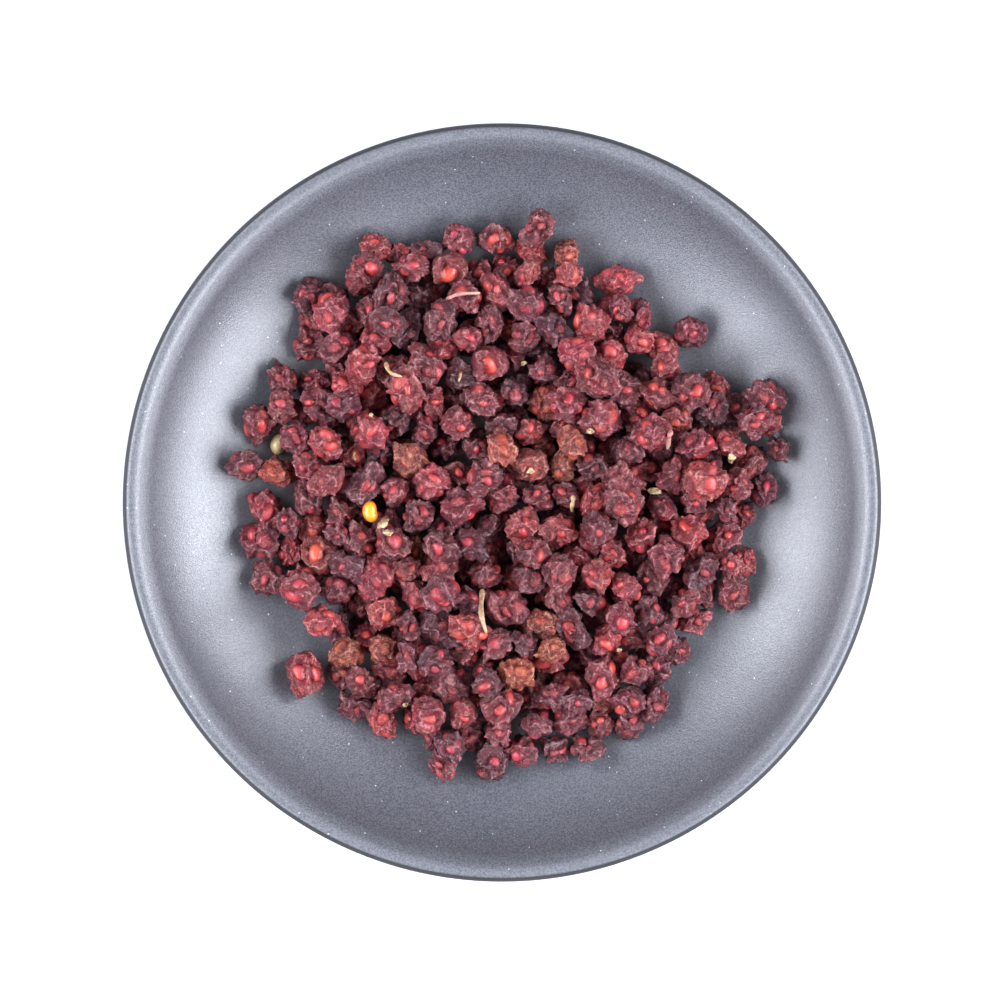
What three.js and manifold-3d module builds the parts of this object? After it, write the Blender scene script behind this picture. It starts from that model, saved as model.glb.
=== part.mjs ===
// A shallow stoneware bowl with a heap of dried schisandra berries and two loose seeds in it.
// Millimetres, +Z up. The origin is the centre of the ring that the bowl stands on.
// The berries are sticky: they hang together in clumps of a few, and each clump is one body.
import * as THREE from "three";
import { mergeVertices } from "three/addons/utils/BufferGeometryUtils.js";
import Module from "manifold-3d";

const wasm = await Module();
wasm.setup();

// The bowl's driving dimensions
const BOWL_RADIUS = 80;
const FLOOR_RADIUS = 47;
const FLOOR_HEIGHT = 8;
const WALL_CURVE = 33.1;
const WALL_SLOPE = 55;
const SWEEP_CURVE = 15;
const SWEEP_SLOPE = 42;
const FLARE_CURVE = 2.9;
const LIP_RADIUS = 1.6;
const FOOT_RADIUS = 41;
const FOOT_WIDTH = 4.2;
const FOOT_CHAMFER = 0.7;
const RECESS_HEIGHT = 3.4;
const BOWL_SIDES = 48;

// The berries' driving dimensions
const BERRY_RADIUS = [2.9, 4.0];
const BERRY_GAP = 0.35;
const STUCK_SHARE = 0.96;
const SUNKEN_SKIN = 0.88;
const FULL_SKIN = 1.04;
const TAIL_DEPTH = 0.55;
const CLUMP_SIZE = [6, 10];
const SMALLEST_CLUMP = 4;

// The height of the direction in which each seed lies inside its berry, from lowest to highest. A
// berry dries onto its seeds, and the first of them stands up in the middle.
const SEED_RISES = [[0.82, 0.99], [0.2, 0.8], [-0.1, 0.5], [-0.5, 0.1]];

// A loose seed is a small kidney with a hollow in its side
const SEED_LENGTH = 4.6;
const SEED_WIDTH = 3.3;
const SEED_THICKNESS = 2.8;
const SEED_BEND = 0.15;
const SEED_HOLLOW = 0.12;

// Places read from a top view in pixels, where the bowl is 760 pixels wide
const VIEW_CENTRE = [502, 502.5];
const MM_PER_PIXEL = (2 * BOWL_RADIUS) / 760;

// The outermost berries, clockwise from the top left: place and width
const HEAP_EDGE = [
  [370, 244, 29], [397, 252, 27], [431, 247, 34], [463, 238, 37], [489, 239, 36], [507, 262, 34],
  [536, 247, 32], [538, 228, 34], [564, 250, 31], [546, 273, 33], [578, 293, 36], [612, 303, 30],
  [618, 279, 34], [638, 314, 32], [662, 346, 34], [693, 330, 36], [648, 388, 36], [690, 392, 40],
  [717, 386, 29], [741, 408, 33], [765, 396, 36], [772, 420, 27], [781, 452, 27], [756, 463, 40],
  [766, 491, 32], [748, 515, 28], [731, 538, 40], [746, 563, 28], [738, 588, 36], [707, 592, 32],
  [700, 618, 30], [668, 622, 33], [677, 652, 28], [656, 674, 34], [660, 706, 37], [628, 728, 31],
  [603, 728, 28], [582, 753, 32], [553, 750, 31], [525, 752, 35], [494, 765, 37], [465, 735, 36],
  [442, 769, 31], [440, 743, 28], [409, 722, 28], [383, 722, 34], [355, 709, 32], [341, 675, 32],
  [332, 629, 36], [298, 580, 35], [265, 576, 37], [262, 539, 40], [263, 506, 35], [243, 465, 35],
  [255, 420, 36], [282, 378, 33], [306, 343, 33], [309, 319, 25], [310, 292, 30], [334, 291, 27],
  [357, 280, 32],
];

// Berries that stand out: one lies off the heap, and the rest are large ones on top of it
const STRAY_BERRY = [302, 675, 43];
const TOP_BERRIES = [
  [488, 362, 42], [380, 573, 41], [410, 548, 33], [601, 416, 42], [705, 480, 42], [556, 664, 43],
  [514, 672, 37], [500, 610, 42], [340, 342, 37], [325, 553, 41], [390, 288, 37], [684, 537, 37],
];
const SEED_ON_HEAP = [371, 512];
const SEED_ON_FLOOR = [285, 449];

// How far the seed on the floor lies from where it settled: out from under a berry, and up with the foot of the wall
const SEED_SLIP = [-2.5, 0.4, 0.12];

// How the rest of the heap is filled: each layer's height and how far apart its berries start
const FLOOR_LAYER = { tries: 6000, spacing: 6.9, height: FLOOR_HEIGHT + 4, inset: 1 };
const UPPER_LAYERS = [
  { tries: 6000, spacing: 6.0, height: FLOOR_HEIGHT + 12, inset: 0.95 },
  { tries: 3000, spacing: 6.6, height: FLOOR_HEIGHT + 19, inset: 0.75 },
];

// How the heap settles, in steps, millimetres and shares of the way back to a berry's first place
const SETTLING = { steps: 300, stickAt: 150, stillAt: 250, fall: 0.16, passes: 3, near: 11, renew: 15 };
const HOLD = { edge: 0.35, top: 0.2, floor: 0.3, loose: 0.03 };
const STICKS_WITHIN = 1.1;
const JOINS_WITHIN = 2.5;

// Park and Miller's generator: whole numbers only, so every draw is the same in any language
let drawn = 1907;
function draw() {
  drawn = (drawn * 48271) % 2147483647;
  return drawn / 2147483647;
}
const between = ([low, high]) => low + (high - low) * draw();

// A pixel place in the bowl's own millimetres
const across = (px) => (px - VIEW_CENTRE[0]) * MM_PER_PIXEL;
const up = (py) => (VIEW_CENTRE[1] - py) * MM_PER_PIXEL;

function newBerry(x, y, z, radius, kind, hold) {
  return { x, y, z, radius, kind, hold, homeX: x, homeY: y, clump: -1 };
}

function placedBerry([px, py, width], height, kind, hold) {
  return newBerry(across(px), up(py), height, (width * MM_PER_PIXEL) / 2, kind, hold);
}

// Whether a point lies inside the loop of the outermost berries, drawn in by a share
function insideHeap(x, y, inset) {
  let inside = false;
  HEAP_EDGE.forEach(([px, py], i) => {
    const [qx, qy] = HEAP_EDGE[(i + HEAP_EDGE.length - 1) % HEAP_EDGE.length];
    const [ax, ay, bx, by] = [across(px) * inset, up(py) * inset, across(qx) * inset, up(qy) * inset];
    if (ay > y !== by > y && x < ((bx - ax) * (y - ay)) / (by - ay) + ax) inside = !inside;
  });
  return inside;
}

// Fills one layer with berries drawn at random, each kept only where it has room.
// Nothing is put over the seed on the floor, which stays in sight.
function scatter(berries, { tries, spacing, height, inset }, hold) {
  for (let i = 0; i < tries; i++) {
    const x = (2 * draw() - 1) * BOWL_RADIUS * 0.8;
    const y = (2 * draw() - 1) * BOWL_RADIUS * 0.8;
    const radius = between(BERRY_RADIUS);
    const crowded = berries.some((b) => {
      const [dx, dy] = [b.x - x, b.y - y];
      const dz = b.kind === "floor seed" ? 0 : b.z - height;
      return dx * dx + dy * dy + dz * dz < spacing * spacing;
    });
    if (!crowded && insideHeap(x, y, inset)) berries.push(newBerry(x, y, height, radius, "berry", hold));
  }
}

function nearPairs(berries) {
  const pairs = [];
  for (let i = 0; i < berries.length; i++) {
    for (let j = i + 1; j < berries.length; j++) {
      const dx = berries[i].x - berries[j].x;
      const dy = berries[i].y - berries[j].y;
      const dz = berries[i].z - berries[j].z;
      if (dx * dx + dy * dy + dz * dz < SETTLING.near * SETTLING.near) pairs.push([i, j]);
    }
  }
  return pairs;
}

// Keeps a berry above the flat floor, and inside the curve of the wall further out
function restOnBowl(b) {
  const gap = b.radius + BERRY_GAP;
  const reach = Math.sqrt(b.x * b.x + b.y * b.y);
  if (reach <= FLOOR_RADIUS) {
    if (b.z < FLOOR_HEIGHT + gap) b.z = FLOOR_HEIGHT + gap;
    return;
  }
  const out = reach - FLOOR_RADIUS;
  const down = FLOOR_HEIGHT + WALL_CURVE - b.z;
  const length = Math.sqrt(out * out + down * down);
  if (length <= WALL_CURVE - gap || down < 0) return;
  const pull = (WALL_CURVE - gap) / length;
  const share = (FLOOR_RADIUS + out * pull) / reach;
  b.x *= share;
  b.y *= share;
  b.z = FLOOR_HEIGHT + WALL_CURVE - down * pull;
}

// Moves two berries apart until they touch, or together where they are stuck to each other
function meet(a, b, stuck) {
  const [dx, dy, dz] = [b.x - a.x, b.y - a.y, b.z - a.z];
  const apart = Math.sqrt(dx * dx + dy * dy + dz * dz);
  const together = a.clump >= 0 && a.clump === b.clump;
  const wanted = together ? STUCK_SHARE * (a.radius + b.radius) : a.radius + b.radius + BERRY_GAP;
  if (apart >= wanted && !stuck) return;
  const push = (apart - wanted) / apart / 2;
  a.x += dx * push;
  a.y += dy * push;
  a.z += dz * push;
  b.x -= dx * push;
  b.y -= dy * push;
  b.z -= dz * push;
}

const sticky = (berry) => berry.kind === "berry";

function gapBetween(a, b) {
  const [dx, dy, dz] = [b.x - a.x, b.y - a.y, b.z - a.z];
  return Math.sqrt(dx * dx + dy * dy + dz * dz) - a.radius - b.radius;
}

// The smallest gap from any of the members to a berry beside it that passes the test
function closest(berries, beside, members, within, test) {
  let best = { gap: within };
  for (const m of members) {
    for (const n of beside[m]) {
      const gap = gapBetween(berries[m], berries[n]);
      if (gap < best.gap && test(berries[n])) best = { gap, m, n };
    }
  }
  return best;
}

// Gathers berries that touch into clumps. Each berry after a clump's first is stuck to its nearest.
function stickTogether(berries, pairs) {
  const beside = berries.map(() => []);
  for (const [i, j] of pairs) {
    beside[i].push(j);
    beside[j].push(i);
  }
  const links = [];
  let clumps = 0;
  berries.forEach((first, i) => {
    if (first.clump >= 0 || !sticky(first)) return;
    const size = Math.floor(between(CLUMP_SIZE));
    const members = [i];
    first.clump = clumps;
    while (members.length < size) {
      const free = (berry) => berry.clump < 0 && sticky(berry);
      const best = closest(berries, beside, members, STICKS_WITHIN, free);
      if (best.n === undefined) break;
      berries[best.n].clump = clumps;
      members.push(best.n);
      links.push([best.m, best.n]);
    }
    clumps++;
  });
  joinSmallClumps(berries, beside, links);
  return links;
}

// Sticks each clump that is too small to the nearest berry of the clump beside it
function joinSmallClumps(berries, beside, links) {
  for (const berry of berries) {
    const members = [...berries.keys()].filter((k) => berries[k].clump === berry.clump);
    if (!sticky(berry) || members.length >= SMALLEST_CLUMP) continue;
    const other = (b) => sticky(b) && b.clump !== berry.clump;
    const best = closest(berries, beside, members, JOINS_WITHIN, other);
    if (best.n === undefined) continue;
    const clump = berries[best.n].clump;
    for (const m of members) berries[m].clump = clump;
    links.push([best.m, best.n]);
  }
}

// Lets the heap fall and settle: every step drops each berry a little and then parts what overlaps
function settle(berries) {
  let pairs = [];
  let links = [];
  for (let step = 0; step < SETTLING.steps; step++) {
    if (step % SETTLING.renew === 0) pairs = nearPairs(berries);
    if (step === SETTLING.stickAt) links = stickTogether(berries, pairs);
    for (const b of step < SETTLING.stillAt ? berries : []) {
      b.x += (b.homeX - b.x) * b.hold;
      b.y += (b.homeY - b.y) * b.hold;
      b.z -= SETTLING.fall;
    }
    for (let pass = 0; pass < SETTLING.passes; pass++) {
      for (const [i, j] of links) meet(berries[i], berries[j], true);
      for (const [i, j] of pairs) meet(berries[i], berries[j], false);
      berries.forEach(restOnBowl);
    }
  }
  return links;
}

// Gives a berry its two to four seeds, spread around it
function giveSeeds(berry) {
  const count = 2 + Math.floor(3 * draw());
  berry.turn = 2 * Math.PI * draw();
  berry.seeds = [new THREE.Vector3(0, 0, -1)];
  for (let k = 0; k < count; k++) {
    const angle = berry.turn + (2 * Math.PI * (k + 0.4 * draw())) / count;
    const rise = between(SEED_RISES[k]);
    const level = Math.sqrt(1 - rise * rise);
    berry.seeds.push(new THREE.Vector3(level * Math.cos(angle), level * Math.sin(angle), rise));
  }
}

function heapOfBerries() {
  const berries = HEAP_EDGE.map((place) => placedBerry(place, FLOOR_HEIGHT + 4, "berry", HOLD.edge));
  berries.push(placedBerry(STRAY_BERRY, FLOOR_HEIGHT + 5, "stray", HOLD.edge));
  const [onHeap, onFloor] = [SEED_ON_HEAP, SEED_ON_FLOOR].map(([px, py]) => [across(px), up(py)]);
  berries.push(newBerry(...onHeap, FLOOR_HEIGHT + 24, SEED_LENGTH / 2, "heap seed", HOLD.edge));
  berries.push(newBerry(...onFloor, FLOOR_HEIGHT + 3, SEED_LENGTH / 2, "floor seed", HOLD.edge));
  scatter(berries, FLOOR_LAYER, HOLD.floor);
  for (const place of TOP_BERRIES) berries.push(placedBerry(place, FLOOR_HEIGHT + 14, "berry", HOLD.top));
  for (const layer of UPPER_LAYERS) scatter(berries, layer, HOLD.loose);
  const links = settle(berries);
  berries.forEach(giveSeeds);
  return { berries, links };
}

// A geometry with its seams closed, so that faces that meet share their corners
function welded(geometry) {
  geometry.deleteAttribute("normal");
  geometry.deleteAttribute("uv");
  return mergeVertices(geometry, 1e-5);
}

// A closed solid from a geometry, without the flat triangles where a turned shape meets its axis
function solidFrom(geometry) {
  const { index, attributes } = welded(geometry);
  const triVerts = [];
  for (let i = 0; i < index.count; i += 3) {
    const [a, b, c] = [0, 1, 2].map((k) => index.getX(i + k));
    if (a !== b && b !== c && c !== a) triVerts.push(a, b, c);
  }
  const vertProperties = attributes.position.array;
  const mesh = new wasm.Mesh({ numProp: 3, vertProperties, triVerts: Uint32Array.from(triVerts) });
  return new wasm.Manifold(mesh);
}

function meshFrom(solid, name, material) {
  const { vertProperties, triVerts } = solid.getMesh();
  const geometry = new THREE.BufferGeometry();
  geometry.setAttribute("position", new THREE.BufferAttribute(vertProperties, 3));
  geometry.setIndex(new THREE.BufferAttribute(triVerts, 1));
  geometry.computeVertexNormals();
  const mesh = new THREE.Mesh(geometry, material);
  mesh.name = name;
  return mesh;
}

// Points along a round stretch of the bowl's profile, from one angle to another
function arc(x, y, radius, from, to, steps) {
  const points = [];
  for (let i = 0; i <= steps; i++) {
    const angle = THREE.MathUtils.degToRad(from + ((to - from) * i) / steps);
    points.push(new THREE.Vector2(x + radius * Math.cos(angle), y + radius * Math.sin(angle)));
  }
  return points;
}

// The bowl's half section: a flat floor, a wall that curves up and then sweeps out a little, a short
// flare, a round lip that runs into the outer wall, and a foot ring with a recess inside it. Both
// sides of the wall curve about one centre.
function bowlProfile() {
  const [steep, gentle] = [WALL_SLOPE, SWEEP_SLOPE].map(THREE.MathUtils.degToRad);
  const wallTop = FLOOR_HEIGHT + WALL_CURVE;
  const sweepX = FLOOR_RADIUS + (WALL_CURVE + SWEEP_CURVE) * Math.sin(steep);
  const sweepY = wallTop - (WALL_CURVE + SWEEP_CURVE) * Math.cos(steep);
  const flareX = sweepX - (SWEEP_CURVE - FLARE_CURVE) * Math.sin(gentle);
  const flareY = sweepY + (SWEEP_CURVE - FLARE_CURVE) * Math.cos(gentle);
  const lipX = BOWL_RADIUS - LIP_RADIUS;
  const lipY = flareY + FLARE_CURVE - LIP_RADIUS;
  const [lipOut, lipDown] = [lipX - FLOOR_RADIUS, wallTop - lipY];
  const outerCurve = Math.sqrt(lipOut * lipOut + lipDown * lipDown) + LIP_RADIUS;
  const lipEnd = -THREE.MathUtils.radToDeg(Math.atan2(lipDown, lipOut));
  const underside = wallTop - outerCurve;
  const footInside = FOOT_RADIUS - FOOT_WIDTH;
  const plain = [
    [FOOT_RADIUS, underside],
    [FOOT_RADIUS, FOOT_CHAMFER],
    [FOOT_RADIUS - FOOT_CHAMFER, 0],
    [footInside + FOOT_CHAMFER, 0],
    [footInside, FOOT_CHAMFER],
    [footInside, RECESS_HEIGHT],
    [0, RECESS_HEIGHT],
  ];
  return [
    new THREE.Vector2(0, FLOOR_HEIGHT),
    ...arc(FLOOR_RADIUS, wallTop, WALL_CURVE, -90, WALL_SLOPE - 90, 7),
    ...arc(sweepX, sweepY, SWEEP_CURVE, 90 + WALL_SLOPE, 90 + SWEEP_SLOPE, 2).slice(1),
    ...arc(flareX, flareY, FLARE_CURVE, 90 + SWEEP_SLOPE, 90, 3).slice(1),
    ...arc(lipX, lipY, LIP_RADIUS, 90, lipEnd, 4),
    ...arc(FLOOR_RADIUS, wallTop, outerCurve, lipEnd, -90, 7).slice(1),
    ...plain.map(([x, y]) => new THREE.Vector2(x, y)),
  ];
}

function bowlSolid() {
  const turned = new THREE.LatheGeometry(bowlProfile().reverse(), BOWL_SIDES);
  return solidFrom(turned.rotateX(Math.PI / 2));
}

// How far the skin reaches along a direction: furthest over a seed, and less between the seeds
function skinReach(direction, seeds) {
  const nearest = Math.max(...seeds.map((seed) => seed.dot(direction)));
  return SUNKEN_SKIN + (FULL_SKIN - SUNKEN_SKIN) * THREE.MathUtils.smoothstep(nearest, 0.2, 0.9);
}

// A berry of 20 sides. Where it is stuck to another, a corner of its skin is drawn out into that one.
function berrySolid(berry, others) {
  const geometry = welded(new THREE.IcosahedronGeometry(1, 0).rotateZ(berry.turn));
  const place = geometry.attributes.position;
  const centre = new THREE.Vector3(berry.x, berry.y, berry.z);
  const corners = [];
  for (let i = 0; i < place.count; i++) {
    const corner = new THREE.Vector3().fromBufferAttribute(place, i);
    corners.push(corner.multiplyScalar(berry.radius * skinReach(corner, berry.seeds)).add(centre));
  }
  for (const other of others) {
    const deep = new THREE.Vector3(other.x, other.y, other.z);
    const away = centre.clone().sub(deep).normalize();
    deep.addScaledVector(away, TAIL_DEPTH * other.radius);
    const nearest = corners.reduce((a, b) => (a.distanceTo(deep) < b.distanceTo(deep) ? a : b));
    nearest.copy(deep);
  }
  corners.forEach((corner, i) => place.setXYZ(i, corner.x, corner.y, corner.z));
  return solidFrom(geometry);
}

// All the berries of one clump, joined in one body
function clumpSolid(berries, links, clump) {
  const members = [...berries.keys()].filter((i) => berries[i].clump === clump);
  const stuckTo = (i) => links.filter(([, child]) => child === i).map(([parent]) => berries[parent]);
  const solids = members.map((i) => berrySolid(berries[i], stuckTo(i)));
  return solids.reduce((whole, berry) => whole.add(berry));
}

// A kidney with its long way along Y, bent to one side, with a hollow in that side
function seedSolid(seed, z, turn) {
  const geometry = new THREE.SphereGeometry(1, 10, 8);
  const place = geometry.attributes.position;
  for (let i = 0; i < place.count; i++) {
    const [x, y, height] = [place.getX(i), place.getY(i), place.getZ(i)];
    const hollow = x > 0 ? SEED_HOLLOW * x * Math.exp(-6 * y * y) : 0;
    const side = ((x - hollow) * SEED_WIDTH) / 2 + SEED_BEND * (y * y - 0.5);
    place.setXYZ(i, side, (y * SEED_LENGTH) / 2, (height * SEED_THICKNESS) / 2);
  }
  return solidFrom(geometry.rotateZ(turn).translate(seed.x, seed.y, z));
}

const GLAZE = new THREE.MeshStandardMaterial({ color: 0x55575f, roughness: 0.35, metalness: 0 });
const SKINS = [0x6b262a, 0x57201f, 0x7d3132].map(
  (color) => new THREE.MeshStandardMaterial({ color, roughness: 0.55, metalness: 0 }),
);
const RIPE_SEED = new THREE.MeshStandardMaterial({ color: 0xe0982a, roughness: 0.4, metalness: 0 });
const PALE_SEED = new THREE.MeshStandardMaterial({ color: 0xd6c083, roughness: 0.5, metalness: 0 });

const object = new THREE.Group();
object.add(meshFrom(bowlSolid(), "bowl", GLAZE));

const { berries, links } = heapOfBerries();
const clumps = [...new Set(berries.filter(sticky).map((berry) => berry.clump))];
clumps.forEach((clump, i) => {
  const name = `berry_clump_${String(i + 1).padStart(2, "0")}`;
  object.add(meshFrom(clumpSolid(berries, links, clump), name, SKINS[i % SKINS.length]));
});

const stray = berries.find((berry) => berry.kind === "stray");
object.add(meshFrom(berrySolid(stray, []), "stray_berry", SKINS[0]));

const heapSeed = berries.find((berry) => berry.kind === "heap seed");
object.add(meshFrom(seedSolid(heapSeed, heapSeed.z, 0.15), "seed_on_heap", RIPE_SEED));

const floorSeed = berries.find((berry) => berry.kind === "floor seed");
const slidSeed = { x: floorSeed.x + SEED_SLIP[0], y: floorSeed.y + SEED_SLIP[1] };
const seedHeight = FLOOR_HEIGHT + BERRY_GAP + SEED_THICKNESS / 2 + SEED_SLIP[2];
object.add(meshFrom(seedSolid(slidSeed, seedHeight, -0.2), "seed_on_floor", PALE_SEED));

export default object;
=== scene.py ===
"""The looks of a bowl of dried schisandra berries: a satin stoneware bowl, about 360 wrinkled berries that stick
together in clumps, two loose seeds, bits of stalk, flakes and scraps, and the light and camera of a view from
straight above.

Lengths are millimetres until a mesh is made, and then metres.
"""

import math

import bpy
import numpy as np
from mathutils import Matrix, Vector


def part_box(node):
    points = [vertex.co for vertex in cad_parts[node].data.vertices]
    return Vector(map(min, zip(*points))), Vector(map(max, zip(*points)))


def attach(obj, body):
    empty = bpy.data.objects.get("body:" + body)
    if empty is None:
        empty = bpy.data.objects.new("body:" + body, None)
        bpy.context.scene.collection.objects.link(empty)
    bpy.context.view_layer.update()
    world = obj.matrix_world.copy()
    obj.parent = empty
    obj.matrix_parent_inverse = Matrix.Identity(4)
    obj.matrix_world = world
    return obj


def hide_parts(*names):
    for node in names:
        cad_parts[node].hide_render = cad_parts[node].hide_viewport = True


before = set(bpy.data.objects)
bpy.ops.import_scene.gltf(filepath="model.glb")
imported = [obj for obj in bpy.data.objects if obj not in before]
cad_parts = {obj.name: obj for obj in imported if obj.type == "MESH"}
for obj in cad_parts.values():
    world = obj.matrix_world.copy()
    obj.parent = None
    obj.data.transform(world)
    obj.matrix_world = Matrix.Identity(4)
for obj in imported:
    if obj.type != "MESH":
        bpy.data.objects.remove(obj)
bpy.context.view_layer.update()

# The bowl is one piece of stoneware, turned on a wheel: a flat floor, a wall that curves up and sweeps
# out to a short flare with a round lip, and a foot ring underneath. Its satin glaze is dark grey with
# tiny white specks, and the edge that it stands on is bare clay.
MM = 0.001
BOWL_RADIUS = 80
FLOOR_RADIUS = 47
FLOOR_HEIGHT = 8
WALL_CURVE = 33.1
WALL_SLOPE = 55
SWEEP_CURVE = 15
SWEEP_SLOPE = 42
FLARE_CURVE = 2.9
LIP_RADIUS = 1.6
# Painted shade: the radii over which the lip's outer edge is painted near black.
LIP_SHADE = (78.8, 79.25)
FLARE_MATTE = (74, 76)
GLAZED_FROM = (1.1, 1.5)
FOOT_RADIUS = 41
FOOT_WIDTH = 4.2
FOOT_CHAMFER = 0.7
RECESS_HEIGHT = 3.4
BOWL_SIDES = 256


def arc(x, y, radius, start, end, steps):
    """Points on a circle about (x, y), evenly spaced from one angle in degrees to another."""
    angle = np.radians(np.linspace(start, end, steps + 1))
    return np.stack([x + radius * np.cos(angle), y + radius * np.sin(angle)], axis=1)


def straight(start, end, steps):
    """Points evenly spaced on a straight line, both ends included."""
    return np.linspace(start, end, steps + 1)


def bowl_profile():
    """The bowl's half section from the middle of its floor, over the lip, to the middle of its recess:
    straight stretches and arcs that run into each other. Both sides of the wall curve about one centre."""
    steep, gentle = math.radians(WALL_SLOPE), math.radians(SWEEP_SLOPE)
    wall_top = FLOOR_HEIGHT + WALL_CURVE
    sweep_x = FLOOR_RADIUS + (WALL_CURVE + SWEEP_CURVE) * math.sin(steep)
    sweep_y = wall_top - (WALL_CURVE + SWEEP_CURVE) * math.cos(steep)
    flare_x = sweep_x - (SWEEP_CURVE - FLARE_CURVE) * math.sin(gentle)
    flare_y = sweep_y + (SWEEP_CURVE - FLARE_CURVE) * math.cos(gentle)
    lip_x, lip_y = BOWL_RADIUS - LIP_RADIUS, flare_y + FLARE_CURVE - LIP_RADIUS
    lip_out, lip_down = lip_x - FLOOR_RADIUS, wall_top - lip_y
    outer_curve = math.hypot(lip_out, lip_down) + LIP_RADIUS
    lip_end = -math.degrees(math.atan2(lip_down, lip_out))
    underside = wall_top - outer_curve
    foot_inside = FOOT_RADIUS - FOOT_WIDTH
    return np.concatenate([
        straight((0, FLOOR_HEIGHT), (FLOOR_RADIUS, FLOOR_HEIGHT), 30)[:-1],
        arc(FLOOR_RADIUS, wall_top, WALL_CURVE, -90, WALL_SLOPE - 90, 32),
        arc(sweep_x, sweep_y, SWEEP_CURVE, 90 + WALL_SLOPE, 90 + SWEEP_SLOPE, 10)[1:],
        arc(flare_x, flare_y, FLARE_CURVE, 90 + SWEEP_SLOPE, 90, 12)[1:],
        arc(lip_x, lip_y, LIP_RADIUS, 90, lip_end, 14),
        arc(FLOOR_RADIUS, wall_top, outer_curve, lip_end, -90, 28)[1:],
        straight((FOOT_RADIUS, underside), (FOOT_RADIUS, FOOT_CHAMFER), 2),
        arc(FOOT_RADIUS - FOOT_CHAMFER, FOOT_CHAMFER, FOOT_CHAMFER, 0, -90, 4)[1:],
        arc(foot_inside + FOOT_CHAMFER, FOOT_CHAMFER, FOOT_CHAMFER, -90, -180, 4),
        straight((foot_inside, RECESS_HEIGHT), (0, RECESS_HEIGHT), 6),
    ])


def ring_faces(rows, sides):
    """The faces between rings of points, row after row, with two points after them that close the ends."""
    here = np.arange(sides)
    beside = (here + 1) % sides
    row = np.arange(rows - 1)[:, None] * sides
    quads = np.stack([row + here, row + sides + here, row + sides + beside, row + beside], axis=2)
    first = np.stack([np.full(sides, rows * sides), here, beside], axis=1)
    outer = (rows - 1) * sides
    last = np.stack([np.full(sides, rows * sides + 1), outer + beside, outer + here], axis=1)
    return [quads.reshape(-1, 4), first, last]


def turned(profile, sides):
    """A profile of (radius, height) pairs turned about Z. Both of its ends are on the axis and become one
    point."""
    angle = np.linspace(0, 2 * math.pi, sides, endpoint=False)
    radius, height = profile[1:-1, 0], profile[1:-1, 1]
    rows = len(radius)
    ring = np.stack([
        np.outer(radius, np.cos(angle)),
        np.outer(radius, np.sin(angle)),
        np.repeat(height[:, None], sides, axis=1),
    ], axis=2)
    ends = [(0, 0, profile[0, 1]), (0, 0, profile[-1, 1])]
    return np.concatenate([ring.reshape(-1, 3), ends]), ring_faces(rows, sides)


def add_piece(name, points, faces, material, attributes=None):
    """A smooth mesh object in metres from points in millimetres. faces is a list of index arrays, one for
    each number of corners, and attributes maps a name to one value or one vector a point."""
    mesh = bpy.data.meshes.new(name)
    corners = np.concatenate([f.ravel() for f in faces])
    sizes = np.concatenate([np.full(len(f), f.shape[1]) for f in faces])
    mesh.vertices.add(len(points))
    mesh.vertices.foreach_set("co", (points * MM).ravel())
    mesh.loops.add(len(corners))
    mesh.loops.foreach_set("vertex_index", corners)
    mesh.polygons.add(len(sizes))
    mesh.polygons.foreach_set("loop_start", np.cumsum(sizes) - sizes)
    mesh.polygons.foreach_set("use_smooth", np.ones(len(sizes), dtype=bool))
    for key, values in (attributes or {}).items():
        kind, field = ("FLOAT", "value") if values.ndim == 1 else ("FLOAT_VECTOR", "vector")
        mesh.attributes.new(key, kind, "POINT").data.foreach_set(field, values.astype(np.float32).ravel())
    mesh.update(calc_edges=True)
    mesh.validate()
    mesh.materials.append(material)
    piece = bpy.data.objects.new(name, mesh)
    bpy.context.scene.collection.objects.link(piece)
    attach(piece, "root")
    return piece


class Nodes:
    """A short way to write a node tree: each call adds a node, sets its values and links its inputs."""

    def __init__(self, tree):
        self.tree = tree

    def add(self, kind, inputs=None, **settings):
        node = self.tree.nodes.new(kind)
        for key, value in settings.items():
            setattr(node, key, value)
        for key, value in (inputs or {}).items():
            if isinstance(value, bpy.types.NodeSocket):
                self.tree.links.new(value, node.inputs[key])
            else:
                node.inputs[key].default_value = value
        return node

    def noise(self, place, scale, detail=2.0, roughness=0.5, distortion=0.0):
        inputs = {"Vector": place, "Scale": scale, "Detail": detail}
        inputs |= {"Roughness": roughness, "Distortion": distortion}
        return self.add("ShaderNodeTexNoise", inputs).outputs["Fac"]

    def math(self, operation, a, b=0.0):
        return self.add("ShaderNodeMath", {0: a, 1: b}, operation=operation).outputs[0]

    def spread(self, value, low, high, to_low=0.0, to_high=1.0):
        inputs = {"Value": value, "From Min": low, "From Max": high, "To Min": to_low, "To Max": to_high}
        return self.add("ShaderNodeMapRange", inputs, interpolation_type="SMOOTHSTEP").outputs["Result"]

    def mix(self, share, a, b):
        inputs = {"Factor": share, 6: a, 7: b}
        return self.add("ShaderNodeMix", inputs, data_type="RGBA").outputs[2]

    def blend(self, share, a, b):
        inputs = {"Factor": share, 2: a, 3: b}
        return self.add("ShaderNodeMix", inputs, data_type="FLOAT").outputs[0]

    def attribute(self, name):
        return self.add("ShaderNodeAttribute", attribute_name=name).outputs["Fac"]

    def ramp(self, value, stops):
        node = self.add("ShaderNodeValToRGB", {"Fac": value})
        for _ in stops[2:]:
            node.color_ramp.elements.new(0.5)
        for element, (position, color) in zip(node.color_ramp.elements, stops):
            element.position = position
            element.color = color
        return node.outputs["Color"]

    def bump(self, height, strength, distance):
        inputs = {"Height": height, "Strength": strength, "Distance": distance * MM}
        return self.add("ShaderNodeBump", inputs).outputs["Normal"]


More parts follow.
